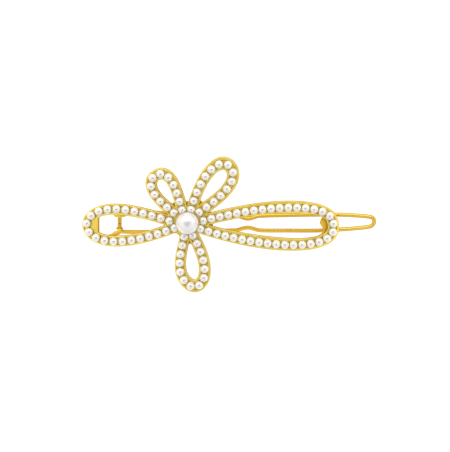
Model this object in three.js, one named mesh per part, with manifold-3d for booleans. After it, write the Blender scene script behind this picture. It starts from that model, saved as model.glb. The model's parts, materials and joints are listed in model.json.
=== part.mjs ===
// Pearl-set flower barrette. An arched, open frame of five petal loops carries a channel
// with a row of pearls along every loop and one large pearl at the hub. A spring-wire
// bail hangs on two lugs behind the left petal and closes behind the right petal's tip.
// Millimetres. +X runs along the barrette, +Y to the two upper petals, +Z is the face.
import * as THREE from "three";
import Module from "manifold-3d";
import { mergeVertices } from "three/addons/utils/BufferGeometryUtils.js";

const wasm = await Module();
wasm.setup();

// Channel section of the frame, measured up from the frame's back.
const FLOOR_TOP = 0.9;
const WEB_TOP = 1.0;
const RIM_TOP = 1.5;
const CHANNEL_HALF = 1.08;
const STEPS_PER_PEARL = 2;

// Pearls: nearly round, flat where they are glued down.
const PEARL_RADIUS = 1.05;
const PEARL_BASE_RADIUS = 0.66;
const PEARL_EQUATOR = 0.75;
const PEARL_SIDES = 8;
const PEARL_BASE = FLOOR_TOP + 0.2;
const PEARL_LEVEL = PEARL_BASE + PEARL_EQUATOR;

// Centre pearl on its cup and peg, measured up from the frame's back.
const CUP_RADIUS = 2.0;
const CUP_BASE = RIM_TOP + 0.2;
const CUP_TOP = 2.2;
const PEG_RADIUS = 0.45;
const PEG_TOP = 3.6;
const CENTRE_PLACE = [0.1, -0.05];
const CENTRE_RADIUS = 2.75;
const CENTRE_BASE = 2.5;
const CENTRE_LEVEL = 3.9;
const CENTRE_HOLE_RADIUS = 0.75;
const CENTRE_HOLE_TOP = 3.9;

// Hub, where the ten round ends of the petal loops meet. A band's sides run over this
// share of its path, and discs round its ends.
const HUB_RADIUS = 4.0;
const BAND_SPAN = [0.01, 0.99];
const BAND_END_RADIUS = 1.3;

// Arch of the whole frame about the Y direction; plan positions hold at pearl level.
const ARCH_RADIUS = 127;
const ARCH_APEX_X = 5.9;
const ARCH_BACK_Z = 6.6;

// Adhesive strip that ties a run of pearls in the two long petals.
const BED_HALF = 0.55;
const BED_TOP = PEARL_BASE + 0.2;

// Spring wire.
const WIRE_RADIUS = 0.5;
const WIRE_SIDES = 8;
const WIRE_Z = 1.2;
const HINGE_X = -17.2;

// Petal loops: two cubic curves each, from root to tip and back to root. Their points were
// not chosen by hand: a least-squares fit to the pearls' places in the photo gave all but
// four of them, as report.md says. The widths of the two rims are given at five places
// spaced evenly from one root to the other. The web fills the narrow foot of the loop, out
// to a distance from the middle of the hub.
const PETALS = [
  {
    name: "left",
    curve: [
      [-3.2, -1.4], [-24.3, -9.7], [-27.0, -1.8], [-24.6, 0.8],
      [-22.2, 3.4], [-17.0, 4.2], [-4.5, 0.3],
    ],
    runs: [6, 5, 5, 6],
    outerRim: [0.25, 0.3, 0.2, 0.18, 0.2],
    innerRim: [0.35, 0.24, 0.27, 0.38, 0.32],
    webReach: 6.1,
  },
  {
    name: "upper_left",
    curve: [
      [-3.35, 2.35], [-10.9, 7.7], [-9.8, 11.1], [-7.4, 11.9],
      [-3.8, 13.1], [-2.3, 5.9], [-1.35, 3.05],
    ],
    pearls: 12,
    outerRim: [0.32, 0.28, 0.36, 0.4, 0.34],
    innerRim: [0.3, 0.2, 0.42, 0.2, 0.35],
    webReach: 6.4,
  },
  {
    name: "upper_right",
    curve: [
      [0.9, 3.2], [4.5, 15.8], [10.1, 16.3], [11.2, 12.9],
      [12.3, 9.6], [7.7, 5.8], [2.9, 2.5],
    ],
    pearls: 15,
    outerRim: [0.15, 0.28, 0.58, 0.46, 0.38],
    innerRim: [0.45, 0.42, 0.5, 0.27, 0.45],
    webReach: 6.6,
  },
  {
    name: "right",
    curve: [
      [3.9, 0.4], [18.3, 4.3], [34.4, 5.0], [36.1, 0.3],
      [39.6, -8.8], [17.7, -6.2], [3.2, -1.6],
    ],
    runs: [6, 6, 5, 5, 6, 6],
    outerRim: [0.4, 0.55, 0.42, 0.46, 0.25],
    innerRim: [0.35, 0.3, 0.22, 0.62, 0.4],
    webReach: 6.8,
  },
  {
    name: "bottom",
    curve: [
      [1.3, -3.3], [7.1, -13.7], [3.0, -17.2], [0.8, -16.0],
      [-3.9, -13.4], [-1.2, -6.5], [-0.8, -3.6],
    ],
    pearls: 14,
    outerRim: [0.32, 0.48, 0.38, 0.25, 0.12],
    innerRim: [0.35, 0.3, 0.6, 0.37, 0.35],
    webReach: 6.0,
  },
];

// Web that closes the inside of the left petal's tip, level with the rims, and the lower
// web between the feet of the two upper petals.
const TIP_WEB = [[-22.6, 1.8], [-22.6, -3.8], [-24.0, -4.0], [-25.2, -1.6], [-24.4, 0.9]];
const TOP_WEB = [[-1.6, 3.2], [1.6, 3.2], [0.4, 5.1], [-0.6, 5.1]];

// Wire bail seen from the face: lower pin, lower leg with its kink, closed end, upper
// leg with its kink, upper pin. The pins lie on the hinge axis.
const BAIL_ROUTE = [
  [HINGE_X, -1.15], [HINGE_X, -1.8], [HINGE_X, -2.45], [-17.15, -2.75], [-17.0, -2.95], [-16.78, -3.1],
  [-16.5, -3.15], [-13.0, -3.22], [0.0, -2.98], [11.0, -2.76], [12.3, -2.66], [13.5, -2.3],
  [14.9, -2.05], [16.2, -2.3], [17.4, -2.66], [18.6, -2.76], [25.0, -2.77], [32.0, -2.76],
  [38.6, -2.43], [45.0, -1.8], [45.95, -1.5], [46.45, -0.9], [46.5, -0.05], [46.1, 0.55],
  [45.2, 0.78], [38.6, 1.24], [32.0, 1.24], [25.0, 1.12], [18.6, 0.92], [17.4, 0.82],
  [16.2, 0.45], [14.9, 0.2], [13.5, 0.5], [12.3, 1.05], [11.0, 1.28], [0.0, 1.5], [-13.0, 1.72],
  [-16.5, 1.75], [-16.78, 1.7], [-17.0, 1.55], [-17.15, 1.35], [HINGE_X, 1.05], [HINGE_X, 0.4],
  [HINGE_X, -1.05],
];
const BAIL_STEPS_PER_SPAN = 2;

// Plates that hang a little below the back of the frame and follow its arch.
const HUNG_PLATE = [-0.85, -0.3];

// Hinge lugs: a hung plate and a sheet eyelet round the pin, which stands on the table.
// The eyelet's outline is measured sideways from the hinge axis and up from the table.
const EYELET_OUTLINE = [
  [-0.6, 0], [0.5, 0], [0.85, 0.6], [0.85, 1.7], [0.4, 2.4],
  [0.4, 4.05], [-0.45, 4.05], [-0.45, 2.4], [-0.85, 1.7], [-0.85, 0.6],
];
const EYELET_THICKNESS = 0.35;
const EYELET_HOLE_RADIUS = 0.66;
const EYELET_SIDES = 12;
const LUGS = [
  {
    name: "upper_hinge_lug",
    plate: [
      [-19.2, 2.9], [-18.8, 1.6], [-18.2, 0.85], [-16.2, 0.85],
      [-15.5, 1.1], [-15.2, 1.6], [-14.6, 2.7],
    ],
    eyeletY: 0.85,
  },
  {
    name: "lower_hinge_lug",
    plate: [
      [-22.0, -4.2], [-19.5, -3.6], [-18.4, -2.85], [-17.75, -2.65], [-17.65, -2.15], [-16.75, -2.15],
      [-16.65, -2.7], [-16.8, -3.2], [-17.3, -3.65], [-18.1, -3.85], [-18.6, -4.4], [-18.9, -5.0],
      [-21.4, -5.3],
    ],
    eyeletY: -2.5,
  },
];

// Catch behind the right petal's tip: a hooked plate above the wire, a stem between the
// wire's legs, and a lip at the foot of the stem.
const CATCH_PLATE = [
  [33.6, 0.75], [33.05, -0.1], [32.95, -0.6], [33.35, -1.35], [33.7, -2.0], [33.75, -2.8], [33.4, -3.3],
  [32.4, -3.9], [31.4, -5.0], [34.4, -4.6], [36.3, -2.6], [36.7, -0.6], [35.9, 0.9], [34.6, 1.3],
];
const CATCH_STEM = { x: [33.9, 35.5], y: [-1.85, 0.4], z: [0.3, 2.85] };
const CATCH_LIP = { x: [33.5, 35.7], y: [-2.05, 0.6], z: [0.0, 0.55] };

// Materials.
const GOLD = { color: 0xd6b552, metalness: 1.0, roughness: 0.3 };
const WIRE_GOLD = { color: 0xdcb445, metalness: 1.0, roughness: 0.25 };
const NACRE = { color: 0xf3eff2, metalness: 0.0, roughness: 0.25 };

function toSolid(geometry) {
  const bare = geometry.clone();
  bare.deleteAttribute("normal");
  bare.deleteAttribute("uv");
  const merged = mergeVertices(bare, 1e-5);
  return new wasm.Manifold(new wasm.Mesh({
    numProp: 3,
    vertProperties: Float32Array.from(merged.attributes.position.array),
    triVerts: Uint32Array.from(merged.index.array),
  }));
}

function toGeometry(solid) {
  const mesh = solid.getMesh();
  const geometry = new THREE.BufferGeometry();
  geometry.setAttribute("position", new THREE.BufferAttribute(Float32Array.from(mesh.vertProperties), 3));
  geometry.setIndex(new THREE.BufferAttribute(Uint32Array.from(mesh.triVerts), 1));
  geometry.computeVertexNormals();
  return geometry;
}

function addMesh(group, name, geometry, look) {
  const mesh = new THREE.Mesh(geometry, new THREE.MeshStandardMaterial(look));
  mesh.name = name;
  group.add(mesh);
  return mesh;
}

// Upright prism over a plan outline, between two heights.
function prism(points, zLow, zHigh) {
  const outline = new THREE.Shape(points.map(([x, y]) => new THREE.Vector2(x, y)));
  const geometry = new THREE.ExtrudeGeometry(outline, { depth: zHigh - zLow, bevelEnabled: false });
  return geometry.translate(0, 0, zLow);
}

// Upright cylinder with its foot at a given point.
function disc(x, y, radius, zLow, zHigh, sides) {
  const geometry = new THREE.CylinderGeometry(radius, radius, zHigh - zLow, sides);
  geometry.rotateX(Math.PI / 2);
  return geometry.translate(x, y, (zLow + zHigh) / 2);
}

function box(x, y, z) {
  const geometry = new THREE.BoxGeometry(x[1] - x[0], y[1] - y[0], z[1] - z[0]);
  return geometry.translate((x[0] + x[1]) / 2, (y[0] + y[1]) / 2, (z[0] + z[1]) / 2);
}

// Arch angle at a plan position.
function archAngle(x) {
  return Math.asin((x - ARCH_APEX_X) / ARCH_RADIUS);
}

// Where a point of the flat frame goes when the frame is arched.
function arched(x, y, z) {
  const angle = archAngle(x);
  const reach = ARCH_RADIUS + z - PEARL_LEVEL;
  const height = reach * Math.cos(angle) - ARCH_RADIUS + PEARL_LEVEL + ARCH_BACK_Z;
  return new THREE.Vector3(ARCH_APEX_X + reach * Math.sin(angle), y, height);
}

function archGeometry(geometry) {
  const position = geometry.attributes.position;
  for (let i = 0; i < position.count; i += 1) {
    const moved = arched(position.getX(i), position.getY(i), position.getZ(i));
    position.setXYZ(i, moved.x, moved.y, moved.z);
  }
  geometry.computeVertexNormals();
  return geometry;
}

// Stands a mesh on the arched frame at a plan position and a height over its back.
function seat(mesh, x, y, z) {
  mesh.position.copy(arched(x, y, z));
  mesh.rotation.y = archAngle(x);
}

function pearlCount(petal) {
  return petal.pearls ?? petal.runs.reduce((sum, run) => sum + run, 0);
}

function petalPath(petal) {
  const p = petal.curve.map(([x, y]) => new THREE.Vector2(x, y));
  const path = new THREE.CurvePath();
  path.add(new THREE.CubicBezierCurve(p[0], p[1], p[2], p[3]));
  path.add(new THREE.CubicBezierCurve(p[3], p[4], p[5], p[6]));
  return path;
}

// Outline of a strip that follows a path from one share of its length to another.
// The path runs anticlockwise, so its left side faces the inside of the loop.
function strip(path, steps, from, to, leftWidth, rightWidth) {
  const left = [];
  const right = [];
  for (let i = 0; i <= steps; i += 1) {
    const t = from + (to - from) * (i / steps);
    const at = path.getPoint(t);
    const along = path.getTangent(t);
    left.push([at.x - along.y * leftWidth(t), at.y + along.x * leftWidth(t)]);
    right.push([at.x + along.y * rightWidth(t), at.y - along.x * rightWidth(t)]);
  }
  return right.concat(left.reverse());
}

// A petal's path is anticlockwise when its enclosed area is positive.
function isAnticlockwise(path) {
  return THREE.ShapeUtils.area(path.getSpacedPoints(40)) > 0;
}

// Rounds the two ends of a strip along a petal.
function addRootDiscs(solid, path, radius, zLow, zHigh) {
  const start = path.getPoint(0);
  const end = path.getPoint(1);
  return solid
    .add(toSolid(disc(start.x, start.y, radius, zLow, zHigh, 16)))
    .add(toSolid(disc(end.x, end.y, radius, zLow, zHigh, 16)));
}

// Eased reading of a rim's widths, which are spaced evenly along a petal.
function rimWidth(widths, t) {
  const place = t * (widths.length - 1);
  const first = Math.min(Math.floor(place), widths.length - 2);
  const share = THREE.MathUtils.smoothstep(place - first, 0, 1);
  return THREE.MathUtils.lerp(widths[first], widths[first + 1], share);
}

function petalBand(petal) {
  const path = petalPath(petal);
  const inner = (t) => CHANNEL_HALF + rimWidth(petal.innerRim, t);
  const outer = (t) => CHANNEL_HALF + rimWidth(petal.outerRim, t);
  const sides = isAnticlockwise(path) ? [inner, outer] : [outer, inner];
  const steps = STEPS_PER_PEARL * (pearlCount(petal) - 1);
  const band = toSolid(prism(strip(path, steps, ...BAND_SPAN, ...sides), 0, RIM_TOP));
  return addRootDiscs(band, path, BAND_END_RADIUS, 0, RIM_TOP);
}

function petalRootWeb(petal) {
  const points = petalPath(petal).getSpacedPoints(STEPS_PER_PEARL * (pearlCount(petal) - 1));
  const foot = points.slice(1, -1).filter((at) => at.length() < petal.webReach);
  return toSolid(prism([[0, 0], ...foot.map((at) => [at.x, at.y])], 0, WEB_TOP));
}

function petalChannel(petal) {
  const path = petalPath(petal);
  const half = () => CHANNEL_HALF;
  const steps = STEPS_PER_PEARL * (pearlCount(petal) - 1);
  const channel = toSolid(prism(strip(path, steps, 0, 1, half, half), FLOOR_TOP, RIM_TOP + 1));
  return addRootDiscs(channel, path, CHANNEL_HALF, FLOOR_TOP, RIM_TOP + 1);
}

function flowerFrame() {
  let frame = toSolid(disc(0, 0, HUB_RADIUS, 0, RIM_TOP, 32));
  frame = frame.add(toSolid(prism(TIP_WEB, 0, RIM_TOP)));
  frame = frame.add(toSolid(prism(TOP_WEB, 0, WEB_TOP)));
  for (const petal of PETALS) {
    frame = frame.add(petalBand(petal)).add(petalRootWeb(petal));
  }
  for (const petal of PETALS) {
    frame = frame.subtract(petalChannel(petal));
  }
  return archGeometry(toGeometry(frame));
}

function pearlGeometry() {
  const slope = PEARL_RADIUS * Math.SQRT1_2;
  const profile = [
    new THREE.Vector2(0, 0),
    new THREE.Vector2(PEARL_BASE_RADIUS, 0),
    new THREE.Vector2(PEARL_RADIUS, PEARL_EQUATOR),
    new THREE.Vector2(slope, PEARL_EQUATOR + slope),
    new THREE.Vector2(0, PEARL_EQUATOR + PEARL_RADIUS),
  ];
  return new THREE.LatheGeometry(profile, PEARL_SIDES).rotateX(Math.PI / 2);
}

// A run of neighbouring pearls tied by the adhesive strip under them.
function pearlRun(petal, first, count) {
  const path = petalPath(petal);
  const gaps = pearlCount(petal) - 1;
  const half = () => BED_HALF;
  const steps = 2 * (count - 1);
  const outline = strip(path, steps, first / gaps, (first + count - 1) / gaps, half, half);
  let run = toSolid(prism(outline, PEARL_BASE, BED_TOP));
  for (let i = first; i < first + count; i += 1) {
    const at = path.getPoint(i / gaps);
    run = run.add(toSolid(pearlGeometry().translate(at.x, at.y, PEARL_BASE)));
  }
  return archGeometry(toGeometry(run));
}

function addPearls(group) {
  for (const petal of PETALS) {
    if (petal.runs) {
      let first = 0;
      petal.runs.forEach((count, index) => {
        addMesh(group, `${petal.name}_petal_pearl_run_${index + 1}`, pearlRun(petal, first, count), NACRE);
        first += count;
      });
    } else {
      petalPath(petal).getSpacedPoints(petal.pearls - 1).forEach((at, index) => {
        const label = String(index + 1).padStart(2, "0");
        const mesh = addMesh(group, `${petal.name}_petal_pearl_${label}`, pearlGeometry(), NACRE);
        seat(mesh, at.x, at.y, PEARL_BASE);
      });
    }
  }
}

function latheUp(profile, sides) {
  const points = profile.map(([radius, z]) => new THREE.Vector2(radius, z));
  return new THREE.LatheGeometry(points, sides).rotateX(Math.PI / 2);
}

// Large pearl, three-quarter round, with a blind hole for the peg.
function centrePearlGeometry() {
  const hole = CENTRE_HOLE_RADIUS;
  const profile = [[0, CENTRE_HOLE_TOP], [hole, CENTRE_HOLE_TOP], [hole, CENTRE_BASE]];
  const low = Math.asin((CENTRE_BASE - CENTRE_LEVEL) / CENTRE_RADIUS);
  const rings = 7;
  for (let i = 0; i < rings; i += 1) {
    const angle = low + (Math.PI / 2 - low) * (i / rings);
    profile.push([CENTRE_RADIUS * Math.cos(angle), CENTRE_LEVEL + CENTRE_RADIUS * Math.sin(angle)]);
  }
  profile.push([0, CENTRE_LEVEL + CENTRE_RADIUS]);
  return latheUp(profile, 20);
}

function centreCupGeometry() {
  const profile = [
    [0, CUP_BASE], [CUP_RADIUS, CUP_BASE], [CUP_RADIUS, CUP_TOP],
    [PEG_RADIUS, CUP_TOP], [PEG_RADIUS, PEG_TOP], [0, PEG_TOP],
  ];
  return latheUp(profile, 16);
}

// A path through given points, one step of the sweep to each point.
class PointPath extends THREE.Curve {
  constructor(points) {
    super();
    this.points = points;
  }

  getPoint(t) {
    const place = t * (this.points.length - 1);
    const index = Math.min(Math.floor(place), this.points.length - 2);
    return this.points[index].clone().lerp(this.points[index + 1], place - index);
  }

  getPointAt(u) {
    return this.getPoint(u);
  }

  getTangentAt(u) {
    const index = Math.round(u * (this.points.length - 1));
    const before = this.points[Math.max(index - 1, 0)];
    const after = this.points[Math.min(index + 1, this.points.length - 1)];
    return after.clone().sub(before).normalize();
  }
}

function bailGeometry() {
  const controls = BAIL_ROUTE.map(([x, y]) => new THREE.Vector3(x, y, WIRE_Z));
  const smooth = new THREE.CatmullRomCurve3(controls, false, "centripetal");
  const points = smooth.getPoints(BAIL_STEPS_PER_SPAN * (controls.length - 1));
  const section = [];
  for (let i = 0; i < WIRE_SIDES; i += 1) {
    const angle = ((i + 0.5) / WIRE_SIDES) * 2 * Math.PI;
    section.push(new THREE.Vector2(WIRE_RADIUS * Math.cos(angle), WIRE_RADIUS * Math.sin(angle)));
  }
  return new THREE.ExtrudeGeometry(new THREE.Shape(section), {
    steps: points.length - 1,
    bevelEnabled: false,
    extrudePath: new PointPath(points),
  });
}

// Prism over a plan outline that hangs below the frame's back and follows its arch.
function hungPlate(points) {
  const plate = prism(points, ...HUNG_PLATE);
  const position = plate.attributes.position;
  const radius = ARCH_RADIUS - PEARL_LEVEL;
  for (let i = 0; i < position.count; i += 1) {
    const along = position.getX(i) - ARCH_APEX_X;
    const back = Math.sqrt(radius * radius - along * along) - radius + ARCH_BACK_Z;
    position.setZ(i, position.getZ(i) + back);
  }
  return plate;
}

function lugGeometry(lug) {
  const outline = EYELET_OUTLINE.map(([x, z]) => [HINGE_X + x, z]);
  const eyelet = prism(outline, 0, EYELET_THICKNESS).rotateX(Math.PI / 2);
  eyelet.translate(0, lug.eyeletY + EYELET_THICKNESS, 0);
  const hole = new THREE.CylinderGeometry(EYELET_HOLE_RADIUS, EYELET_HOLE_RADIUS, 4, EYELET_SIDES);
  hole.translate(HINGE_X, lug.eyeletY, WIRE_Z);
  const lugSolid = toSolid(hungPlate(lug.plate)).add(toSolid(eyelet)).subtract(toSolid(hole));
  return toGeometry(lugSolid);
}

function catchGeometry() {
  const stem = toSolid(box(CATCH_STEM.x, CATCH_STEM.y, CATCH_STEM.z));
  const lip = toSolid(box(CATCH_LIP.x, CATCH_LIP.y, CATCH_LIP.z));
  return toGeometry(toSolid(hungPlate(CATCH_PLATE)).add(stem).add(lip));
}

function buildBarrette() {
  const barrette = new THREE.Group();
  addMesh(barrette, "flower_frame", flowerFrame(), GOLD);
  addPearls(barrette);
  const cup = addMesh(barrette, "centre_cup", centreCupGeometry(), GOLD);
  seat(cup, ...CENTRE_PLACE, 0);
  const pearl = addMesh(barrette, "centre_pearl", centrePearlGeometry(), NACRE);
  seat(pearl, ...CENTRE_PLACE, 0);
  for (const lug of LUGS) {
    addMesh(barrette, lug.name, lugGeometry(lug), GOLD);
  }
  addMesh(barrette, "catch_hook", catchGeometry(), GOLD);
  addMesh(barrette, "wire_bail", bailGeometry(), WIRE_GOLD);

  // The origin is the bottom centre of the bounding box.
  const bounds = new THREE.Box3().setFromObject(barrette, true);
  const middle = bounds.getCenter(new THREE.Vector3());
  barrette.position.set(-middle.x, -middle.y, -bounds.min.z);
  const model = new THREE.Group();
  model.add(barrette);
  return model;
}

export default buildBarrette();
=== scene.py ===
"""Looks of the pearl-set flower barrette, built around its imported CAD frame."""

import json
import math
import random

import bpy
import bmesh
import numpy as np
from mathutils import Matrix, Vector


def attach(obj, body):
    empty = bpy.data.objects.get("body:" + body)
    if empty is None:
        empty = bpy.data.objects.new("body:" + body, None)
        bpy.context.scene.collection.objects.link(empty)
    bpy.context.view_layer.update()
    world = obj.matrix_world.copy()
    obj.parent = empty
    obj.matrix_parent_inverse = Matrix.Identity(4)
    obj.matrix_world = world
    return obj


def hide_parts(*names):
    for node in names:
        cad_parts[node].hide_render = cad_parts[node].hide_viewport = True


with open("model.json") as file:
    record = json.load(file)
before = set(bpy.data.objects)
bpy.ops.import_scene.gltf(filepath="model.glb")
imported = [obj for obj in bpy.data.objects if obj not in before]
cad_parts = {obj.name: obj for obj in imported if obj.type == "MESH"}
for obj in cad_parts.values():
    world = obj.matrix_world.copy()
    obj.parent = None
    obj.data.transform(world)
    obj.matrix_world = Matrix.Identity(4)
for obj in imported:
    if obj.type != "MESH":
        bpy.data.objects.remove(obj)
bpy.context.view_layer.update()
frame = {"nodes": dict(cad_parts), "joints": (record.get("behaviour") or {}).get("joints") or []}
rng = random.Random(7)

# Everything but the stage is modelled in the design's own millimetres, as the CAD part is,
# and moved into the row frame when a mesh is finished.
MM = 0.001

# Section of a petal's band, measured up from the back of the flat frame. Between the
# pockets, bridges stand a little over the pocket floors.
POCKET_FLOOR = 0.9
WEB_TOP = 1.0
BRIDGE_TOP = 1.22
RIM_TOP = 1.5
CHANNEL_HALF = 1.08
BRIDGE_HALF = 0.84
POCKET_RADIUS = 1.07
BACK_ROUND = 0.28
RIM_ROUND = 0.15
MOUTH_FLARE = 0.07

# Pearls: radius, and the heights of the flat base and of the widest part. The smallest of
# the small pearls has this share of the full radius.
PEARL_RADIUS = 1.05
PEARL_BASE = 1.1
PEARL_LEVEL = 1.85
LEAST_PEARL = 0.985
CENTRE_PLACE = (0.1, -0.05)
CENTRE_RADIUS = 2.75
CENTRE_BASE = 2.5
CENTRE_LEVEL = 3.9

# Adhesive: a bead that is widest just over the pocket floor.
BEAD_RADIUS = 0.9

# Hub, band ends, cup and peg.
HUB_RADIUS = 4.0
BAND_SPAN = (0.01, 0.99)
BAND_END_RADIUS = 1.3
CUP_RADIUS = 2.0
CUP_BASE = 1.7
CUP_TOP = 2.2
CUP_SINK = 0.22
PEG_RADIUS = 0.45
PEG_TOP = 3.6

# Fineness of the meshes: points along a curve, stations for each pearl, the step between
# the slices that let the casting bend and how near a slice may pass a point, the distance
# at which points are welded, and the sides and rings of round shapes.
CURVE_POINTS = 400
STATIONS_PER_PEARL = 7
ARCH_SLICE = 1.5
SLICE_TOLERANCE = 1e-4
WELD = 0.002
SMALL_SIDES = 28
SMALL_RINGS = 15
CENTRE_SIDES = 72
CENTRE_RINGS = 40
HUB_SIDES = 64
CUP_SIDES = 48
BAND_END_SIDES = 32
BEAD_SIDES = 20
WIRE_SIDES = 20
HOLE_SIDES = 40
WIRE_STEPS = 6

# Arch of the frame about the Y direction. Plan positions hold at pearl level.
ARCH_RADIUS = 127.0
ARCH_APEX_X = 5.9
ARCH_BACK_Z = 6.6

# Wire, and the hinge between the wire's two inward ends.
WIRE_RADIUS = 0.5
WIRE_Z = 1.2
HINGE_X = -17.2
PIN_GAP_Y = -1.1

# Petal loops: two cubic curves each, from root to tip and back to root. Their points were
# not chosen by hand: a least-squares fit to the pearls' places in the photo gave all but
# four of them. The widths of the two rims are given at five places spaced evenly from one
# root to the other. The web fills the narrow foot of the loop, out to a distance from the
# middle of the hub.
PETALS = [
    {
        "name": "left",
        "curve": [
            (-3.2, -1.4), (-24.3, -9.7), (-27.0, -1.8), (-24.6, 0.8),
            (-22.2, 3.4), (-17.0, 4.2), (-4.5, 0.3),
        ],
        "pearls": 22,
        "outer_rim": (0.25, 0.3, 0.2, 0.18, 0.2),
        "inner_rim": (0.35, 0.24, 0.27, 0.38, 0.32),
        "web_reach": 6.1,
    },
    {
        "name": "upper_left",
        "curve": [
            (-3.35, 2.35), (-10.9, 7.7), (-9.8, 11.1), (-7.4, 11.9),
            (-3.8, 13.1), (-2.3, 5.9), (-1.35, 3.05),
        ],
        "pearls": 12,
        "outer_rim": (0.32, 0.28, 0.36, 0.4, 0.34),
        "inner_rim": (0.3, 0.2, 0.42, 0.2, 0.35),
        "web_reach": 6.4,
    },
    {
        "name": "upper_right",
        "curve": [
            (0.9, 3.2), (4.5, 15.8), (10.1, 16.3), (11.2, 12.9),
            (12.3, 9.6), (7.7, 5.8), (2.9, 2.5),
        ],
        "pearls": 15,
        "outer_rim": (0.15, 0.28, 0.58, 0.46, 0.38),
        "inner_rim": (0.45, 0.42, 0.5, 0.27, 0.45),
        "web_reach": 6.6,
    },
    {
        "name": "right",
        "curve": [
            (3.9, 0.4), (18.3, 4.3), (34.4, 5.0), (36.1, 0.3),
            (39.6, -8.8), (17.7, -6.2), (3.2, -1.6),
        ],
        "pearls": 34,
        "outer_rim": (0.4, 0.55, 0.42, 0.46, 0.25),
        "inner_rim": (0.35, 0.3, 0.22, 0.62, 0.4),
        "web_reach": 6.8,
    },
    {
        "name": "bottom",
        "curve": [
            (1.3, -3.3), (7.1, -13.7), (3.0, -17.2), (0.8, -16.0),
            (-3.9, -13.4), (-1.2, -6.5), (-0.8, -3.6),
        ],
        "pearls": 14,
        "outer_rim": (0.32, 0.48, 0.38, 0.25, 0.12),
        "inner_rim": (0.35, 0.3, 0.6, 0.37, 0.35),
        "web_reach": 6.0,
    },
]

# Web that closes the inside of the left petal's tip, level with the rims, and the lower
# web between the two upper petals.
TIP_WEB = [(-22.6, 1.8), (-22.6, -3.8), (-24.0, -4.0), (-25.2, -1.6), (-24.4, 0.9)]
TOP_WEB = [(-1.6, 3.2), (1.6, 3.2), (0.4, 5.1), (-0.6, 5.1)]

# Plan route of the wire, from the lower pin along the lower leg, round the closed end and
# back along the upper leg to the upper pin.
BAIL_ROUTE = [
    (HINGE_X, -1.15), (HINGE_X, -1.8), (HINGE_X, -2.45), (-17.15, -2.75), (-17.0, -2.95),
    (-16.78, -3.1), (-16.5, -3.15), (-13.0, -3.22), (0.0, -2.98), (11.0, -2.76), (12.3, -2.66), (13.5, -2.3),
    (14.9, -2.05), (16.2, -2.3), (17.4, -2.66), (18.6, -2.76), (25.0, -2.77), (32.0, -2.76),
    (38.6, -2.43), (45.0, -1.8), (45.95, -1.5), (46.45, -0.9), (46.5, -0.05), (46.1, 0.55),
    (45.2, 0.78), (38.6, 1.24), (32.0, 1.24), (25.0, 1.12), (18.6, 0.92), (17.4, 0.82),
    (16.2, 0.45), (14.9, 0.2), (13.5, 0.5), (12.3, 1.05), (11.0, 1.28), (0.0, 1.5), (-13.0, 1.72),
    (-16.5, 1.75), (-16.78, 1.7), (-17.0, 1.55), (-17.15, 1.35), (HINGE_X, 1.05), (HINGE_X, 0.4),
    (HINGE_X, -1.05),
]

# Lugs and catch: plates that hang from the frame's back, between these heights from it. An
# eyelet stands under each lug, its outline given along X from the pin and up from the table.
HUNG_LOW = -0.85
HUNG_TOP = 0.04
LUG_BEVEL = 0.07
CATCH_BEVEL = 0.09
EYELET_OUTLINE = [
    (-0.6, 0.1), (0.5, 0.1), (0.85, 0.6), (0.85, 1.7), (0.4, 2.4),
    (0.4, 4.05), (-0.45, 4.05), (-0.45, 2.4), (-0.85, 1.7), (-0.85, 0.6),
]
EYELET_THICKNESS = 0.35
EYELET_HOLE_RADIUS = 0.66
LUGS = [
    {
        "name": "upper_hinge_lug",
        "plate": [
            (-19.2, 2.9), (-18.8, 1.6), (-18.2, 0.85), (-16.2, 0.85),
            (-15.5, 1.1), (-15.2, 1.6), (-14.6, 2.7),
        ],
        "eyelet_y": 0.85,
    },
    {
        "name": "lower_hinge_lug",
        "plate": [
            (-22.0, -4.2), (-19.5, -3.6), (-18.4, -2.85), (-17.75, -2.65), (-17.65, -2.15), (-16.75, -2.15),
            (-16.65, -2.7), (-16.8, -3.2), (-17.3, -3.65), (-18.1, -3.85), (-18.6, -4.4), (-18.9, -5.0),
            (-21.4, -5.3),
        ],
        "eyelet_y": -2.5,
    },
]
CATCH_PLATE = [
    (33.6, 0.75), (33.05, -0.1), (32.95, -0.6), (33.35, -1.35), (33.7, -2.0), (33.75, -2.8), (33.4, -3.3),
    (32.4, -3.9), (31.4, -5.0), (34.4, -4.6), (36.3, -2.6), (36.7, -0.6), (35.9, 0.9), (34.6, 1.3),
]
CATCH_STEM = ((33.9, 35.5), (-1.85, 0.4), (0.3, 2.85))
CATCH_LIP = ((33.5, 35.7), (-2.05, 0.6), (0.0, 0.55))

# An edge at which the faces turn by more than the first angle stays sharp in the shading,
# and one at which they turn by more than the second is bevelled.
SHARP_ANGLE = math.radians(38)
BEVEL_ANGLE = math.radians(40)

# Painted shade: what the gold's colour is multiplied by on upright sides and on the low webs and floors.
CAST_SIDE_SHADE = (0.55, 0.48, 0.34)
SHEET_SIDE_SHADE = (0.75, 0.66, 0.5)
RECESS_SHADE = (0.72, 0.58, 0.35)

# Stage, in metres but for the camera's aim, which is a place in the design's millimetres.
# The table lies below the bail when it is open.
FLOOR_Z = -0.066
FLOOR_HALF = 1.2
CAMERA_DISTANCE = 2.0
CAMERA_FIELD = 0.1128
CAMERA_VIEW = (0.026, 0.105, 1.0)
CAMERA_AIM = (9.38, -0.905, 8.45)

# The hinge's place in the record ties the design's coordinates to the row frame.
hinge_mm = Vector(frame["joints"][0]["pos_m"]) / MM
ROW_SHIFT = Vector((hinge_mm.x - HINGE_X, hinge_mm.y - PIN_GAP_Y, 0.0))


# ---------------------------------------------------------------- geometry helpers

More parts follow.
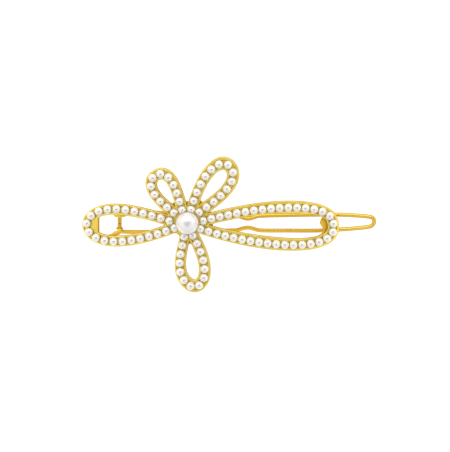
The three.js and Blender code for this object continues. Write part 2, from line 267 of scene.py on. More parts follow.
def arched(points):
    """Moves points of the flat frame to where the arch puts them."""
    points = np.asarray(points, float).reshape(-1, 3)
    angle = np.arcsin((points[:, 0] - ARCH_APEX_X) / ARCH_RADIUS)
    reach = ARCH_RADIUS + points[:, 2] - PEARL_LEVEL
    height = reach * np.cos(angle) - ARCH_RADIUS + PEARL_LEVEL + ARCH_BACK_Z
    return np.column_stack((ARCH_APEX_X + reach * np.sin(angle), points[:, 1], height))


def back_height(x):
    """Height of the frame's back over the table at a plan position."""
    radius = ARCH_RADIUS - PEARL_LEVEL
    return np.sqrt(radius ** 2 - (x - ARCH_APEX_X) ** 2) - radius + ARCH_BACK_Z


def mesh_object(name, points, faces):
    """A mesh object with its points in the design's millimetres."""
    mesh = bpy.data.meshes.new(name)
    mesh.from_pydata([tuple(p) for p in points], [], faces)
    mesh.update()
    piece = bpy.data.objects.new(name, mesh)
    bpy.context.scene.collection.objects.link(piece)
    return piece


def get_points(piece):
    """A mesh's points as an array with a row for each."""
    flat = np.zeros(len(piece.data.vertices) * 3)
    piece.data.vertices.foreach_get("co", flat)
    return flat.reshape(-1, 3)


def set_points(piece, points):
    piece.data.vertices.foreach_set("co", np.asarray(points, float).ravel())
    piece.data.update()


def apply_modifiers(piece):
    """Replaces a piece's mesh with what its modifiers make of it."""
    depsgraph = bpy.context.evaluated_depsgraph_get()
    mesh = bpy.data.meshes.new_from_object(piece.evaluated_get(depsgraph))
    piece.modifiers.clear()
    piece.data = mesh


def combine(piece, tool, operation):
    """Joins another solid to a piece or cuts it away, and removes the tool."""
    modifier = piece.modifiers.new("combine", "BOOLEAN")
    modifier.operation = operation
    modifier.solver = "MANIFOLD"
    modifier.object = tool
    apply_modifiers(piece)
    bpy.data.objects.remove(tool)


def bevel(piece, width):
    """Breaks a piece's sharp edges."""
    modifier = piece.modifiers.new("bevel", "BEVEL")
    modifier.width = width
    modifier.segments = 2
    modifier.limit_method = "ANGLE"
    modifier.angle_limit = BEVEL_ANGLE
    apply_modifiers(piece)


def place_in_row(piece, material):
    """Moves a finished mesh into the row frame, smooth shaded and in its material."""
    points = get_points(piece) + np.array(ROW_SHIFT)
    set_points(piece, points * MM)
    piece.data.polygons.foreach_set("use_smooth", [True] * len(piece.data.polygons))
    piece.data.materials.clear()
    piece.data.materials.append(material)


def finish_piece(piece, body, nodes, material):
    """Finishes a piece, attaches it to its body and hides the CAD parts that it stands in for."""
    place_in_row(piece, material)
    piece.data.set_sharp_from_angle(angle=SHARP_ANGLE)
    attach(piece, body)
    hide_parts(*nodes)


def fix_normals(piece):
    """Turns a closed mesh's faces outward."""
    work = bmesh.new()
    work.from_mesh(piece.data)
    bmesh.ops.recalc_face_normals(work, faces=work.faces)
    work.to_mesh(piece.data)
    work.free()


def prism(name, outline, z_low, z_high):
    """Upright solid over a plan outline."""
    count = len(outline)
    points = [(x, y, z_low) for x, y in outline] + [(x, y, z_high) for x, y in outline]
    faces = [list(range(count))[::-1], list(range(count, 2 * count))]
    for i in range(count):
        j = (i + 1) % count
        faces.append([i, j, count + j, count + i])
    piece = mesh_object(name, points, faces)
    fix_normals(piece)
    return piece


def block(name, x, y, z):
    """Box between pairs of coordinates."""
    return prism(name, [(x[0], y[0]), (x[1], y[0]), (x[1], y[1]), (x[0], y[1])], *z)


def lathe(profile, sides, centre=(0.0, 0.0)):
    """Points and faces of a turned solid. The profile starts and ends on the axis."""
    points = [(centre[0], centre[1], profile[0][1])]
    for radius, z in profile[1:-1]:
        for k in range(sides):
            angle = 2 * math.pi * k / sides
            x = centre[0] + radius * math.cos(angle)
            y = centre[1] + radius * math.sin(angle)
            points.append((x, y, z))
    points.append((centre[0], centre[1], profile[-1][1]))
    last = len(points) - 1
    faces = []
    for k in range(sides):
        faces.append([0, 1 + (k + 1) % sides, 1 + k])
    for ring in range(len(profile) - 3):
        low = 1 + ring * sides
        high = low + sides
        for k in range(sides):
            n = (k + 1) % sides
            faces.append([low + k, low + n, high + n, high + k])
    top = 1 + (len(profile) - 3) * sides
    for k in range(sides):
        faces.append([top + k, top + (k + 1) % sides, last])
    return points, faces


def sweep(stations):
    """Points and faces of a closed tube through a list of equal rings of points."""
    sides = len(stations[0])
    points = [p for ring in stations for p in ring]
    faces = []
    for s in range(len(stations) - 1):
        a = s * sides
        b = a + sides
        for k in range(sides):
            n = (k + 1) % sides
            faces.append([a + k, a + n, b + n, b + k])
    faces.append(list(range(sides))[::-1])
    faces.append(list(range(len(points) - sides, len(points))))
    return points, faces


def join_parts(parts):
    """Points and faces of several meshes as one."""
    points, faces = [], []
    for part_points, part_faces in parts:
        start = len(points)
        points.extend(part_points)
        faces.extend([[start + i for i in face] for face in part_faces])
    return points, faces


# ---------------------------------------------------------------- petal paths

class PetalPath:
    """A petal's centreline, measured along its length."""

    def __init__(self, petal):
        control = np.array(petal["curve"], float)
        t = np.linspace(0, 1, CURVE_POINTS)[:, None]
        s = 1 - t
        halves = []
        for a, b, c, d in (control[0:4], control[3:7]):
            halves.append(s ** 3 * a + 3 * s ** 2 * t * b + 3 * s * t * t * c + t ** 3 * d)
        self.points = np.vstack((halves[0], halves[1][1:]))
        steps = np.hypot(*np.diff(self.points, axis=0).T)
        self.lengths = np.concatenate(([0], np.cumsum(steps)))
        self.anticlockwise = self._area() > 0

    def _area(self):
        x, y = self.points.T
        return 0.5 * np.sum(x * np.roll(y, -1) - y * np.roll(x, -1))

    def at(self, share):
        """Plan place at a share of the way from one root to the other."""
        length = np.asarray(share) * self.lengths[-1]
        return np.stack((np.interp(length, self.lengths, self.points[:, 0]),
                         np.interp(length, self.lengths, self.points[:, 1])), axis=-1)

    def along(self, share):
        """Direction of travel, as a unit vector."""
        delta = 0.004
        step = self.at(np.clip(share + delta, 0, 1)) - self.at(np.clip(share - delta, 0, 1))
        return step / np.linalg.norm(step, axis=-1, keepdims=True)


def arc_points(centre, radius, start, end, steps):
    """Points of an arc between two angles in degrees."""
    angles = np.radians(np.linspace(start, end, steps + 1))
    return [(centre[0] + radius * math.cos(a), centre[1] + radius * math.sin(a)) for a in angles]


def band_section(left, right):
    """Closed section of a petal's band: a block with a rounded back and softened rims."""
    low, top = BACK_ROUND, RIM_ROUND
    section = arc_points((-left + low, low), low, 180, 270, 4)
    section += arc_points((right - low, low), low, 270, 360, 4)
    section += arc_points((right - top, RIM_TOP - top), top, 0, 90, 3)
    section += arc_points((-left + top, RIM_TOP - top), top, 90, 180, 3)
    return section


def channel_section():
    """Section of what is cut from a band between the pockets, flared at its top."""
    mouth_half = BRIDGE_HALF + 3 * MOUTH_FLARE
    mouth_top = RIM_TOP + 2 * MOUTH_FLARE
    return [
        (-BRIDGE_HALF, BRIDGE_TOP), (BRIDGE_HALF, BRIDGE_TOP), (BRIDGE_HALF, RIM_TOP - MOUTH_FLARE),
        (mouth_half, mouth_top), (-mouth_half, mouth_top), (-BRIDGE_HALF, RIM_TOP - MOUTH_FLARE),
    ]


def path_sweep(path, steps, section_at, span=(0.0, 1.0)):
    """Sweeps sections along a petal's path; a section's first number runs to its right."""
    stations = []
    for share in np.linspace(*span, steps + 1):
        centre = path.at(share)
        along = path.along(share)
        side = np.array((along[1], -along[0]))
        ring = [(*(centre + side * u), z) for u, z in section_at(share)]
        stations.append(ring)
    return sweep(stations)


def petal_steps(petal):
    return STATIONS_PER_PEARL * (petal["pearls"] - 1)


def rim_width(widths, share):
    """Eased reading of a rim's five widths, spaced evenly along a petal."""
    place = share * (len(widths) - 1)
    first = min(int(place), len(widths) - 2)
    t = place - first
    t = t * t * (3 - 2 * t)
    return widths[first] + (widths[first + 1] - widths[first]) * t


def petal_band(petal, path):
    """Solid band of a petal, with a disc round each root."""
    def section_at(share):
        inner = CHANNEL_HALF + rim_width(petal["inner_rim"], share)
        outer = CHANNEL_HALF + rim_width(petal["outer_rim"], share)
        left, right = (inner, outer) if path.anticlockwise else (outer, inner)
        return band_section(left, right)

    piece = mesh_object(petal["name"] + "_band", *path_sweep(path, petal_steps(petal), section_at, BAND_SPAN))
    fix_normals(piece)
    profile = [
        (0, 0), (BAND_END_RADIUS - BACK_ROUND, 0), (BAND_END_RADIUS, BACK_ROUND),
        (BAND_END_RADIUS, RIM_TOP - RIM_ROUND), (BAND_END_RADIUS - RIM_ROUND, RIM_TOP), (0, RIM_TOP),
    ]
    for share in (0.0, 1.0):
        end = mesh_object("band_end", *lathe(profile, BAND_END_SIDES, path.at(share)))
        fix_normals(end)
        combine(piece, end, "UNION")
    return piece


def petal_root_web(petal, path):
    """Web that fills the narrow foot of a petal's loop."""
    points = path.at(np.linspace(0, 1, petal_steps(petal) + 1))[1:-1]
    foot = points[np.hypot(*points.T) < petal["web_reach"]]
    return prism(petal["name"] + "_web", [(0.0, 0.0)] + [tuple(p) for p in foot], 0, WEB_TOP)


def petal_channel(petal, path):
    """What is cut from a petal's band to leave its two rims."""
    section = channel_section()
    points, faces = path_sweep(path, petal_steps(petal), lambda share: section)
    piece = mesh_object(petal["name"] + "_channel", points, faces)
    fix_normals(piece)
    return piece


def pearl_places(petal, path):
    """Plan places of a petal's pearls, evenly spaced from root to root."""
    return [path.at(i / (petal["pearls"] - 1)) for i in range(petal["pearls"])]


def slice_across(piece, spacing):
    """Adds edges across a mesh at even steps of X, so that it can be arched smoothly."""
    work = bmesh.new()
    work.from_mesh(piece.data)
    bmesh.ops.remove_doubles(work, verts=work.verts, dist=WELD)
    bmesh.ops.triangulate(work, faces=work.faces)
    low = min(v.co.x for v in work.verts)
    high = max(v.co.x for v in work.verts)
    x = low + spacing
    while x < high:
        geometry = work.verts[:] + work.edges[:] + work.faces[:]
        bmesh.ops.bisect_plane(
            work, geom=geometry, plane_co=(x, 0, 0), plane_no=(1, 0, 0), dist=SLICE_TOLERANCE)
        x += spacing
    work.to_mesh(piece.data)
    work.free()


def build_casting():
    """Flower frame: hub, webs and bands, cut by the channels and pockets, then arched."""
    hub_profile = [
        (0, 0), (HUB_RADIUS - 0.3, 0), (HUB_RADIUS - 0.1, 0.1), (HUB_RADIUS, 0.3),
        (HUB_RADIUS, 1.38), (HUB_RADIUS - 0.12, RIM_TOP), (0, RIM_TOP),
    ]
    casting = mesh_object("flower_casting", *lathe(hub_profile, HUB_SIDES))
    fix_normals(casting)
    combine(casting, prism("tip_web", TIP_WEB, 0, RIM_TOP), "UNION")
    combine(casting, prism("top_web", TOP_WEB, 0, WEB_TOP), "UNION")
    paths = [PetalPath(petal) for petal in PETALS]
    for petal, path in zip(PETALS, paths):
        combine(casting, petal_band(petal, path), "UNION")
        combine(casting, petal_root_web(petal, path), "UNION")
    for petal, path in zip(PETALS, paths):
        combine(casting, petal_channel(petal, path), "DIFFERENCE")
    over = RIM_TOP + 1
    pocket = [(0, POCKET_FLOOR), (POCKET_RADIUS, POCKET_FLOOR), (POCKET_RADIUS, over), (0, over)]
    pockets = []
    for petal, path in zip(PETALS, paths):
        for place in pearl_places(petal, path):
            pockets.append(lathe(pocket, SMALL_SIDES, place))
    cutter = mesh_object("pockets", *join_parts(pockets))
    fix_normals(cutter)
    combine(casting, cutter, "DIFFERENCE")
    slice_across(casting, ARCH_SLICE)
    set_points(casting, arched(get_points(casting)))
    return casting


# ---------------------------------------------------------------- pearls

def pearl_profile(radius, base, level, rings):
    """Round profile cut flat at its base."""
    start = math.asin((base - level) / radius)
    profile = [(0, base)]
    for i in range(rings):
        angle = start + (math.pi / 2 - start) * i / rings
        profile.append((radius * math.cos(angle), level + radius * math.sin(angle)))
    profile.append((0, level + radius))
    return profile


def seat(points, place):
    """Stands points, modelled over the origin of the flat frame, on the arched frame."""
    angle = math.asin((place[0] - ARCH_APEX_X) / ARCH_RADIUS)
    points = np.asarray(points, float)
    x = points[:, 0] * math.cos(angle) + points[:, 2] * math.sin(angle)
    z = -points[:, 0] * math.sin(angle) + points[:, 2] * math.cos(angle)
    foot = arched([(place[0], place[1], 0.0)])[0]
    return np.column_stack((x, points[:, 1], z)) + foot


def build_petal_pearls(petal):
    """All the pearls of a petal, no two of quite the same size."""
    parts = []
    for place in pearl_places(petal, PetalPath(petal)):
        size = PEARL_RADIUS * rng.uniform(LEAST_PEARL, 1.0)
        points, faces = lathe(pearl_profile(size, PEARL_BASE, PEARL_LEVEL, SMALL_RINGS), SMALL_SIDES)
        parts.append((seat(points, place).tolist(), faces))
    return mesh_object(petal["name"] + "_petal_pearls", *join_parts(parts))


def build_adhesive():
    """A low bead of clear adhesive under each pearl."""
    foot = POCKET_FLOOR - 0.02
    profile = [
        (0, foot), (BEAD_RADIUS - 0.04, foot), (BEAD_RADIUS, POCKET_FLOOR + 0.08),
        (BEAD_RADIUS - 0.1, PEARL_BASE + 0.04), (0, PEARL_BASE + 0.06),
    ]
    parts = []
    for petal in PETALS:
        for place in pearl_places(petal, PetalPath(petal)):
            points, faces = lathe(profile, BEAD_SIDES)
            parts.append((seat(points, place).tolist(), faces))
    return mesh_object("pearl_adhesive", *join_parts(parts))


def build_centre_pearl():
    profile = pearl_profile(CENTRE_RADIUS, CENTRE_BASE, CENTRE_LEVEL, CENTRE_RINGS)
    points, faces = lathe(profile, CENTRE_SIDES)
    return mesh_object("large_centre_pearl", seat(points, CENTRE_PLACE), faces)


def build_centre_cup():
    """Cup with a rolled lip round the pearl's base, and the peg inside the pearl."""
    foot = CUP_BASE - CUP_SINK
    profile = [
        (0, foot), (CUP_RADIUS - 0.25, foot), (CUP_RADIUS - 0.2, CUP_BASE + 0.1),
        (CUP_RADIUS - 0.02, CUP_TOP - 0.15), (CUP_RADIUS, CUP_TOP - 0.07), (CUP_RADIUS - 0.06, CUP_TOP),
        (CUP_RADIUS - 0.16, CUP_TOP - 0.03), (PEG_RADIUS + 0.1, CUP_TOP - 0.03),
        (PEG_RADIUS, CUP_TOP + 0.06), (PEG_RADIUS, PEG_TOP - 0.1), (PEG_RADIUS - 0.1, PEG_TOP), (0, PEG_TOP),
    ]
    points, faces = lathe(profile, CUP_SIDES)
    return mesh_object("centre_pearl_cup", seat(points, CENTRE_PLACE), faces)


# ---------------------------------------------------------------- wire, lugs, catch

def catmull_rom(points, per_span):
    """Centripetal Catmull-Rom curve through the points, as the CAD wire uses."""
    points = [np.array(p, float) for p in points]
    first = points[0] + (points[0] - points[1])
    last = points[-1] + (points[-1] - points[-2])
    padded = [first] + points + [last]
    out = []
    for i in range(1, len(padded) - 2):
        p0, p1, p2, p3 = padded[i - 1:i + 3]
        t0 = 0.0
        t1 = t0 + np.linalg.norm(p1 - p0) ** 0.5
        t2 = t1 + np.linalg.norm(p2 - p1) ** 0.5
        t3 = t2 + np.linalg.norm(p3 - p2) ** 0.5
        for k in range(per_span):
            t = t1 + (t2 - t1) * k / per_span
            a1 = (t1 - t) / (t1 - t0) * p0 + (t - t0) / (t1 - t0) * p1
            a2 = (t2 - t) / (t2 - t1) * p1 + (t - t1) / (t2 - t1) * p2
            a3 = (t3 - t) / (t3 - t2) * p2 + (t - t2) / (t3 - t2) * p3
            b1 = (t2 - t) / (t2 - t0) * a1 + (t - t0) / (t2 - t0) * a2
            b2 = (t3 - t) / (t3 - t1) * a2 + (t - t1) / (t3 - t1) * a3
            out.append((t2 - t) / (t2 - t1) * b1 + (t - t1) / (t2 - t1) * b2)
    out.append(points[-1])
    return np.array(out)


def build_bail():
    """Round wire along its route, with its two ends rounded off."""
    route = catmull_rom(BAIL_ROUTE, WIRE_STEPS)
    along = np.gradient(route, axis=0)
    along /= np.linalg.norm(along, axis=1, keepdims=True)
    stations = []

    def ring(centre, direction, radius):
        side = np.array((direction[1], -direction[0]))
        points = []
        for k in range(WIRE_SIDES):
            angle = 2 * math.pi * k / WIRE_SIDES
            across = centre + side * radius * math.cos(angle)
            points.append((across[0], across[1], WIRE_Z + radius * math.sin(angle)))
        return points

    # Each end: the advance from the route's end, and the share of the wire's radius there.
    round_off = [(-0.035, 0.72), (0.0, 0.9), (0.06, 0.98)]
    for advance, share in round_off:
        stations.append(ring(route[0] + along[0] * advance, along[0], WIRE_RADIUS * share))
    for centre, direction in zip(route[1:-1], along[1:-1]):
        stations.append(ring(centre, direction, WIRE_RADIUS))
    for advance, share in round_off[::-1]:
        stations.append(ring(route[-1] - along[-1] * advance, along[-1], WIRE_RADIUS * share))
    piece = mesh_object("spring_wire_bail", *sweep(stations))
    fix_normals(piece)
    return piece


def smooth_outline(outline, per_span):
    """Closed outline with its corners eased by a curve through its points."""
    closed = list(outline) + [outline[0], outline[1], outline[2]]
    curve = catmull_rom(closed, per_span)
    return [tuple(p) for p in curve[per_span:per_span * (len(outline) + 1)]]


def hung_plate(name, outline):
    """Plate that hangs from the frame's back and follows its arch."""
    piece = prism(name, outline, HUNG_LOW, HUNG_TOP)
    points = get_points(piece)
    points[:, 2] += back_height(points[:, 0])
    set_points(piece, points)
    return piece


def build_lug(lug):
    """Hinge lug: a hung plate with an upright eyelet round the pin."""
    piece = hung_plate(lug["name"] + "_tab", smooth_outline(lug["plate"], per_span=3))
    outline = [(HINGE_X + x, z) for x, z in EYELET_OUTLINE]
    eyelet = prism("eyelet", outline, 0, EYELET_THICKNESS)
    points = get_points(eyelet)
    y = lug["eyelet_y"] + EYELET_THICKNESS - points[:, 2]
    set_points(eyelet, np.column_stack((points[:, 0], y, points[:, 1])))
    fix_normals(eyelet)
    combine(piece, eyelet, "UNION")
    profile = [(0, -2), (EYELET_HOLE_RADIUS, -2), (EYELET_HOLE_RADIUS, 2), (0, 2)]
    hole = mesh_object("hole", *lathe(profile, HOLE_SIDES))
    points = get_points(hole)
    x = points[:, 0] + HINGE_X
    set_points(hole, np.column_stack((x, points[:, 2] + lug["eyelet_y"], points[:, 1] + WIRE_Z)))
    fix_normals(hole)
    combine(piece, hole, "DIFFERENCE")
    bevel(piece, LUG_BEVEL)
    return piece


def build_catch():
    """Catch: a hung plate with a stem down to the lip that stands on the table."""
    piece = hung_plate("catch_tab", smooth_outline(CATCH_PLATE, per_span=4))
    combine(piece, block("stem", *CATCH_STEM), "UNION")
    combine(piece, block("lip", *CATCH_LIP), "UNION")
    bevel(piece, CATCH_BEVEL)
    return piece


# ---------------------------------------------------------------- materials

def new_material(name):
    """A material, its node tree and its shader."""
    material = bpy.data.materials.new(name)
    material.use_nodes = True
    tree = material.node_tree
    shader = tree.nodes["Principled BSDF"]
    return material, tree, shader


def add_noise(tree, scale, detail, roughness=0.5):
    """Noise over the object, with its scale in features per metre."""
    coordinates = tree.nodes.new("ShaderNodeTexCoord")
    noise = tree.nodes.new("ShaderNodeTexNoise")
    noise.inputs["Scale"].default_value = scale
    noise.inputs["Detail"].default_value = detail
    noise.inputs["Roughness"].default_value = roughness
    tree.links.new(coordinates.outputs["Object"], noise.inputs["Vector"])
    return noise


def add_ramp(tree, source, stops):
    """Colour ramp through stops of a place and a colour."""
    ramp = tree.nodes.new("ShaderNodeValToRGB")
    elements = ramp.color_ramp.elements
    while len(elements) < len(stops):
        elements.new(0.5)
    for element, (place, color) in zip(elements, stops):
        element.position = place
        element.color = (*color, 1.0)
    tree.links.new(source, ramp.inputs["Fac"])
    return ramp


def add_bump(tree, shader, height, strength, distance):
    """Relief on a shader's surface."""
    bump = tree.nodes.new("ShaderNodeBump")
    bump.inputs["Strength"].default_value = strength
    bump.inputs["Distance"].default_value = distance
    tree.links.new(height, bump.inputs["Height"])
    tree.links.new(bump.outputs["Normal"], shader.inputs["Normal"])


def grey(value):
    return (value, value, value)


def multiplied(tree, first, second, share=None):
    """The first colour times the second, or that share of the way to it."""
    mix = tree.nodes.new("ShaderNodeMix")
    mix.data_type = "RGBA"
    mix.blend_type = "MULTIPLY"
    mix.inputs["Factor"].default_value = 1.0
    if share is not None:
        tree.links.new(share, mix.inputs["Factor"])
    tree.links.new(first, mix.inputs["A"])
    tree.links.new(second, mix.inputs["B"])
    return mix.outputs["Result"]


def levelness(tree):
    """How level a face lies: 1 on a level face, 0 on an upright one."""
    coordinates = tree.nodes.new("ShaderNodeTexCoord")
    parts = tree.nodes.new("ShaderNodeSeparateXYZ")
    tree.links.new(coordinates.outputs["Normal"], parts.inputs["Vector"])
    level = tree.nodes.new("ShaderNodeMath")
    level.operation = "ABSOLUTE"
    tree.links.new(parts.outputs["Z"], level.inputs[0])
    return level.outputs["Value"]


def add_painted_side_shade(tree, color, painted_side_shade):
    """Darkens a colour on a piece's steep sides: painted shade, for the dark edges where a surface turns away
    from the light.
    """
    ramp = add_ramp(tree, levelness(tree), [(0.45, painted_side_shade), (0.97, grey(1.0))])
    return multiplied(tree, color, ramp.outputs["Color"])


def add_painted_recess_shade(tree, color):
    """Darkens a colour on the webs and floors, which lie below the rims of the arched casting: painted shade
    in these recesses.
    """
    coordinates = tree.nodes.new("ShaderNodeTexCoord")
    centre = Vector((ARCH_APEX_X, 0.0, ARCH_BACK_Z + PEARL_LEVEL - ARCH_RADIUS)) + ROW_SHIFT
    offset = tree.nodes.new("ShaderNodeVectorMath")
    offset.operation = "SUBTRACT"
    offset.inputs[1].default_value = centre * MM
    tree.links.new(coordinates.outputs["Object"], offset.inputs[0])
    flat = tree.nodes.new("ShaderNodeVectorMath")
    flat.operation = "MULTIPLY"
    flat.inputs[1].default_value = (1.0, 0.0, 1.0)
    tree.links.new(offset.outputs["Vector"], flat.inputs[0])
    reach = tree.nodes.new("ShaderNodeVectorMath")
    reach.operation = "LENGTH"
    tree.links.new(flat.outputs["Vector"], reach.inputs[0])
    height = tree.nodes.new("ShaderNodeMapRange")
    back = (ARCH_RADIUS - PEARL_LEVEL) * MM
    height.inputs["From Min"].default_value = back
    height.inputs["From Max"].default_value = back + RIM_TOP * MM
    tree.links.new(reach.outputs["Value"], height.inputs["Value"])
    web = WEB_TOP / RIM_TOP
    # Painted shade: the colour darkens where the surface lies below the rims.
    stops = [(0.1, grey(1.0)), (0.5, RECESS_SHADE), (web + 0.02, RECESS_SHADE), (web + 0.1, grey(1.0))]
    ramp = add_ramp(tree, height.outputs["Result"], stops)
    level = add_ramp(tree, levelness(tree), [(0.7, grey(0.0)), (0.9, grey(1.0))])
    return multiplied(tree, color, ramp.outputs["Color"], level.outputs["Color"])


def gold_material(name, dark, light, polish, grain, grain_height, painted_side_shade, shade_recesses=False):
    """Plated gold: slow changes of tone, painted shade on steep sides and, when asked, in the recesses, a
    cloudy polish and a fine cast or drawn grain.
    """
    material, tree, shader = new_material(name)
    shader.inputs["Metallic"].default_value = 1.0
    shader.inputs["Specular Tint"].default_value = (0.9, 0.66, 0.32, 1.0)
    tone = add_noise(tree, 260.0, 3.0)
    ramp = add_ramp(tree, tone.outputs["Fac"], [(0.3, dark), (0.7, light)])
    # Painted shade: the colour darkens on steep sides.
    color = add_painted_side_shade(tree, ramp.outputs["Color"], painted_side_shade)
    if shade_recesses:
        # Painted shade on the low webs and floors.
        color = add_painted_recess_shade(tree, color)
    tree.links.new(color, shader.inputs["Base Color"])
    cloud = add_noise(tree, 900.0, 4.0, 0.6)
    rough = add_ramp(tree, cloud.outputs["Fac"], [(0.3, grey(polish[0])), (0.75, grey(polish[1]))])
    tree.links.new(rough.outputs["Color"], shader.inputs["Roughness"])
    texture = add_noise(tree, grain, 5.0, 0.6)
    add_bump(tree, shader, texture.outputs["Fac"], 0.3, grain_height)
    return material


def nacre_material(name, scale, tint, base, roughness, sides, top):
    """Pearl lacquer: near white, with soft pink, lilac, blue and green clouds, painted shade on its level top
    and painted light, warm as a painted reflection of the gold, on its steep sides.
    """
    material, tree, shader = new_material(name)
    clouds = add_noise(tree, scale, 2.0, 0.45)
    pale = [
        (0.26, (base, base - 0.09 * tint, base - 0.09 * tint)),
        (0.4, (base - 0.04 * tint, base - 0.07 * tint, base - 0.01 * tint)),
        (0.5, (base, base - 0.03, base - 0.08)),
        (0.6, (base - 0.07 * tint, base - 0.01 * tint, base - 0.06 * tint)),
        (0.74, (base, base - 0.05 * tint, base - 0.06 * tint)),
    ]
    ramp = add_ramp(tree, clouds.outputs["Fac"], pale)
    # Painted light and shade: the sides colour on steep faces, lighter and warm, and the top colour on level
    # faces, darker.
    painted_slope_light = add_ramp(tree, levelness(tree), [(0.5, sides), (0.92, top)])
    color = multiplied(tree, ramp.outputs["Color"], painted_slope_light.outputs["Color"])
    tree.links.new(color, shader.inputs["Base Color"])
    shader.inputs["Roughness"].default_value = roughness
    shader.inputs["Metallic"].default_value = 0.55
    shader.inputs["IOR"].default_value = 1.8
    shader.inputs["Coat Weight"].default_value = 0.4
    shader.inputs["Coat Roughness"].default_value = 0.08
    shader.inputs["Subsurface Weight"].default_value = 0.12
    shader.inputs["Subsurface Radius"].default_value = (0.6, 0.5, 0.45)
    shader.inputs["Subsurface Scale"].default_value = 0.0006
    shader.inputs["Sheen Weight"].default_value = 1.0
    shader.inputs["Sheen Roughness"].default_value = 0.4
    shader.inputs["Sheen Tint"].default_value = (1.0, 0.95, 0.86, 1.0)
    skin = add_noise(tree, scale * 4, 3.0)
    add_bump(tree, shader, skin.outputs["Fac"], 0.15, 0.00003)
    return material


def adhesive_material():
    """Clear, slightly yellow glue with fine bubbles."""
    material, tree, shader = new_material("clear_adhesive")
    tone = add_noise(tree, 700.0, 2.0)
    ramp = add_ramp(tree, tone.outputs["Fac"], [(0.3, (0.8, 0.68, 0.38)), (0.7, (0.9, 0.82, 0.55))])
    tree.links.new(ramp.outputs["Color"], shader.inputs["Base Color"])
    shader.inputs["Roughness"].default_value = 0.15
    bubbles = add_noise(tree, 2500.0, 2.0)
    add_bump(tree, shader, bubbles.outputs["Fac"], 0.2, 0.00003)
    return material


# ---------------------------------------------------------------- object

# The side and recess colours of the gold below are painted shade.
gold = gold_material(
    "gold_plated_casting", dark=(0.95, 0.67, 0.1), light=(1.0, 0.85, 0.22), polish=(0.42, 0.52),
    grain=2600.0, grain_height=0.00002, painted_side_shade=CAST_SIDE_SHADE, shade_recesses=True)
sheet_gold = gold_material(
    "gold_plated_sheet", dark=(0.98, 0.66, 0.07), light=(1.0, 0.74, 0.11), polish=(0.56, 0.66),
    grain=1800.0, grain_height=0.00001, painted_side_shade=SHEET_SIDE_SHADE)
wire_gold = gold_material(
    "gold_plated_wire", dark=(0.86, 0.57, 0.08), light=(0.9, 0.62, 0.1), polish=(0.3, 0.38),
    grain=1500.0, grain_height=0.000008, painted_side_shade=CAST_SIDE_SHADE)
# Painted light and shade of the pearls: the lighter, warm sides colour and the darker top colour.
nacre = nacre_material(
    "pearl_lacquer", scale=800.0, tint=1.4, base=0.99, roughness=0.18,
    sides=(1.0, 0.965, 0.86), top=(0.81, 0.79, 0.755))
big_nacre = nacre_material(
    "centre_pearl_lacquer", scale=260.0, tint=0.5, base=0.9, roughness=0.34,
    sides=(0.97, 0.96, 0.94), top=(0.88, 0.88, 0.87))
adhesive = adhesive_material()

node_names = list(frame["nodes"])
finish_piece(build_casting(), "frame", ["flower_frame"], gold)
for petal in PETALS:
    own_nodes = [n for n in node_names if n.startswith(petal["name"] + "_petal_pearl")]
    finish_piece(build_petal_pearls(petal), "frame", own_nodes, nacre)
glue = build_adhesive()
place_in_row(glue, adhesive)
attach(glue, "frame")
finish_piece(build_centre_pearl(), "frame", ["centre_pearl"], big_nacre)
finish_piece(build_centre_cup(), "frame", ["centre_cup"], gold)
for lug in LUGS:
    finish_piece(build_lug(lug), "frame", [lug["name"]], sheet_gold)
finish_piece(build_catch(), "frame", ["catch_hook"], sheet_gold)
finish_piece(build_bail(), "bail", ["wire_bail"], wire_gold)

# ---------------------------------------------------------------- stage

def build_floor():
    """Plain white table, which glows so that it stays pale."""
    half = FLOOR_HALF
    corners = [(-half, -half, 0), (half, -half, 0), (half, half, 0), (-half, half, 0)]
    piece = mesh_object("table", corners, [[0, 1, 2, 3]])
    material, tree, shader = new_material("white_table")
    shader.inputs["Base Color"].default_value = (0.12, 0.12, 0.12, 1)
    shader.inputs["Roughness"].default_value = 0.9
    shader.inputs["Specular IOR Level"].default_value = 0.0
    shader.inputs["Emission Color"].default_value = (1, 1, 1, 1)
    shader.inputs["Emission Strength"].default_value = 0.97
    piece.data.materials.append(material)
    piece.location.z = FLOOR_Z


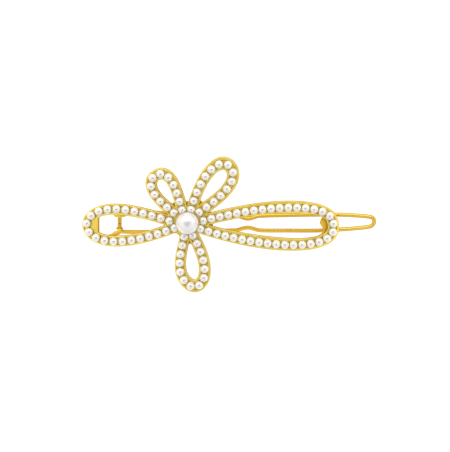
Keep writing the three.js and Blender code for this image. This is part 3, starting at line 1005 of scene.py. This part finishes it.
def build_camera():
    """Long lens, nearly straight above the barrette and tipped a little to its top."""
    view = Vector(CAMERA_VIEW).normalized()
    aim = (Vector(CAMERA_AIM) + ROW_SHIFT) * MM
    data = bpy.data.cameras.new("camera")
    data.sensor_width = 36.0
    data.lens = data.sensor_width * CAMERA_DISTANCE / CAMERA_FIELD
    data.clip_start = 0.1
    data.clip_end = 10.0
    camera = bpy.data.objects.new("camera", data)
    bpy.context.scene.collection.objects.link(camera)
    camera.location = aim + view * CAMERA_DISTANCE
    right = Vector((0, 1, 0)).cross(view).normalized()
    up = view.cross(right)
    camera.rotation_euler = Matrix((right, up, view)).transposed().to_euler()
    bpy.context.scene.camera = camera


def area_light(name, place, aim, size, power):
    """Round white light that faces a point."""
    data = bpy.data.lights.new(name, "AREA")
    data.shape = "DISK"
    data.size = size
    data.energy = power
    light = bpy.data.objects.new(name, data)
    bpy.context.scene.collection.objects.link(light)
    light.location = place
    light.rotation_euler = (Vector(aim) - Vector(place)).to_track_quat("-Z", "Y").to_euler()


def build_world():
    """White tent with a soft dark opening overhead, where the camera stands."""
    world = bpy.data.worlds.new("tent")
    world.use_nodes = True
    tree = world.node_tree
    background = tree.nodes["Background"]
    coordinates = tree.nodes.new("ShaderNodeTexCoord")
    height = tree.nodes.new("ShaderNodeVectorMath")
    height.operation = "DOT_PRODUCT"
    height.inputs[1].default_value = (0.03, 0.1, 0.9945)
    tree.links.new(coordinates.outputs["Generated"], height.inputs[0])
    stops = [(0.0, grey(0.75)), (0.35, grey(0.95)), (0.55, (1.0, 0.98, 0.95)), (0.68, (1.0, 0.98, 0.95)),
             (0.85, (0.6, 0.61, 0.66)), (0.96, (0.26, 0.28, 0.37))]
    ramp = add_ramp(tree, height.outputs["Value"], stops)
    ramp.color_ramp.interpolation = "EASE"
    side = tree.nodes.new("ShaderNodeVectorMath")
    side.operation = "DOT_PRODUCT"
    side.inputs[1].default_value = (0.0, 1.0, 0.0)
    tree.links.new(coordinates.outputs["Generated"], side.inputs[0])
    glow = tree.nodes.new("ShaderNodeMapRange")
    glow.inputs["From Min"].default_value = -1.0
    glow.inputs["From Max"].default_value = 1.0
    glow.inputs["To Min"].default_value = 1.1
    glow.inputs["To Max"].default_value = 1.55
    tree.links.new(side.outputs["Value"], glow.inputs["Value"])
    tree.links.new(ramp.outputs["Color"], background.inputs["Color"])
    tree.links.new(glow.outputs["Result"], background.inputs["Strength"])
    bpy.context.scene.world = world


build_floor()
build_camera()
build_world()
area_light("key", place=(-0.1, 0.8, 0.8), aim=(0, 0, 0), size=0.8, power=2.0)
bpy.context.scene.view_settings.view_transform = "Standard"
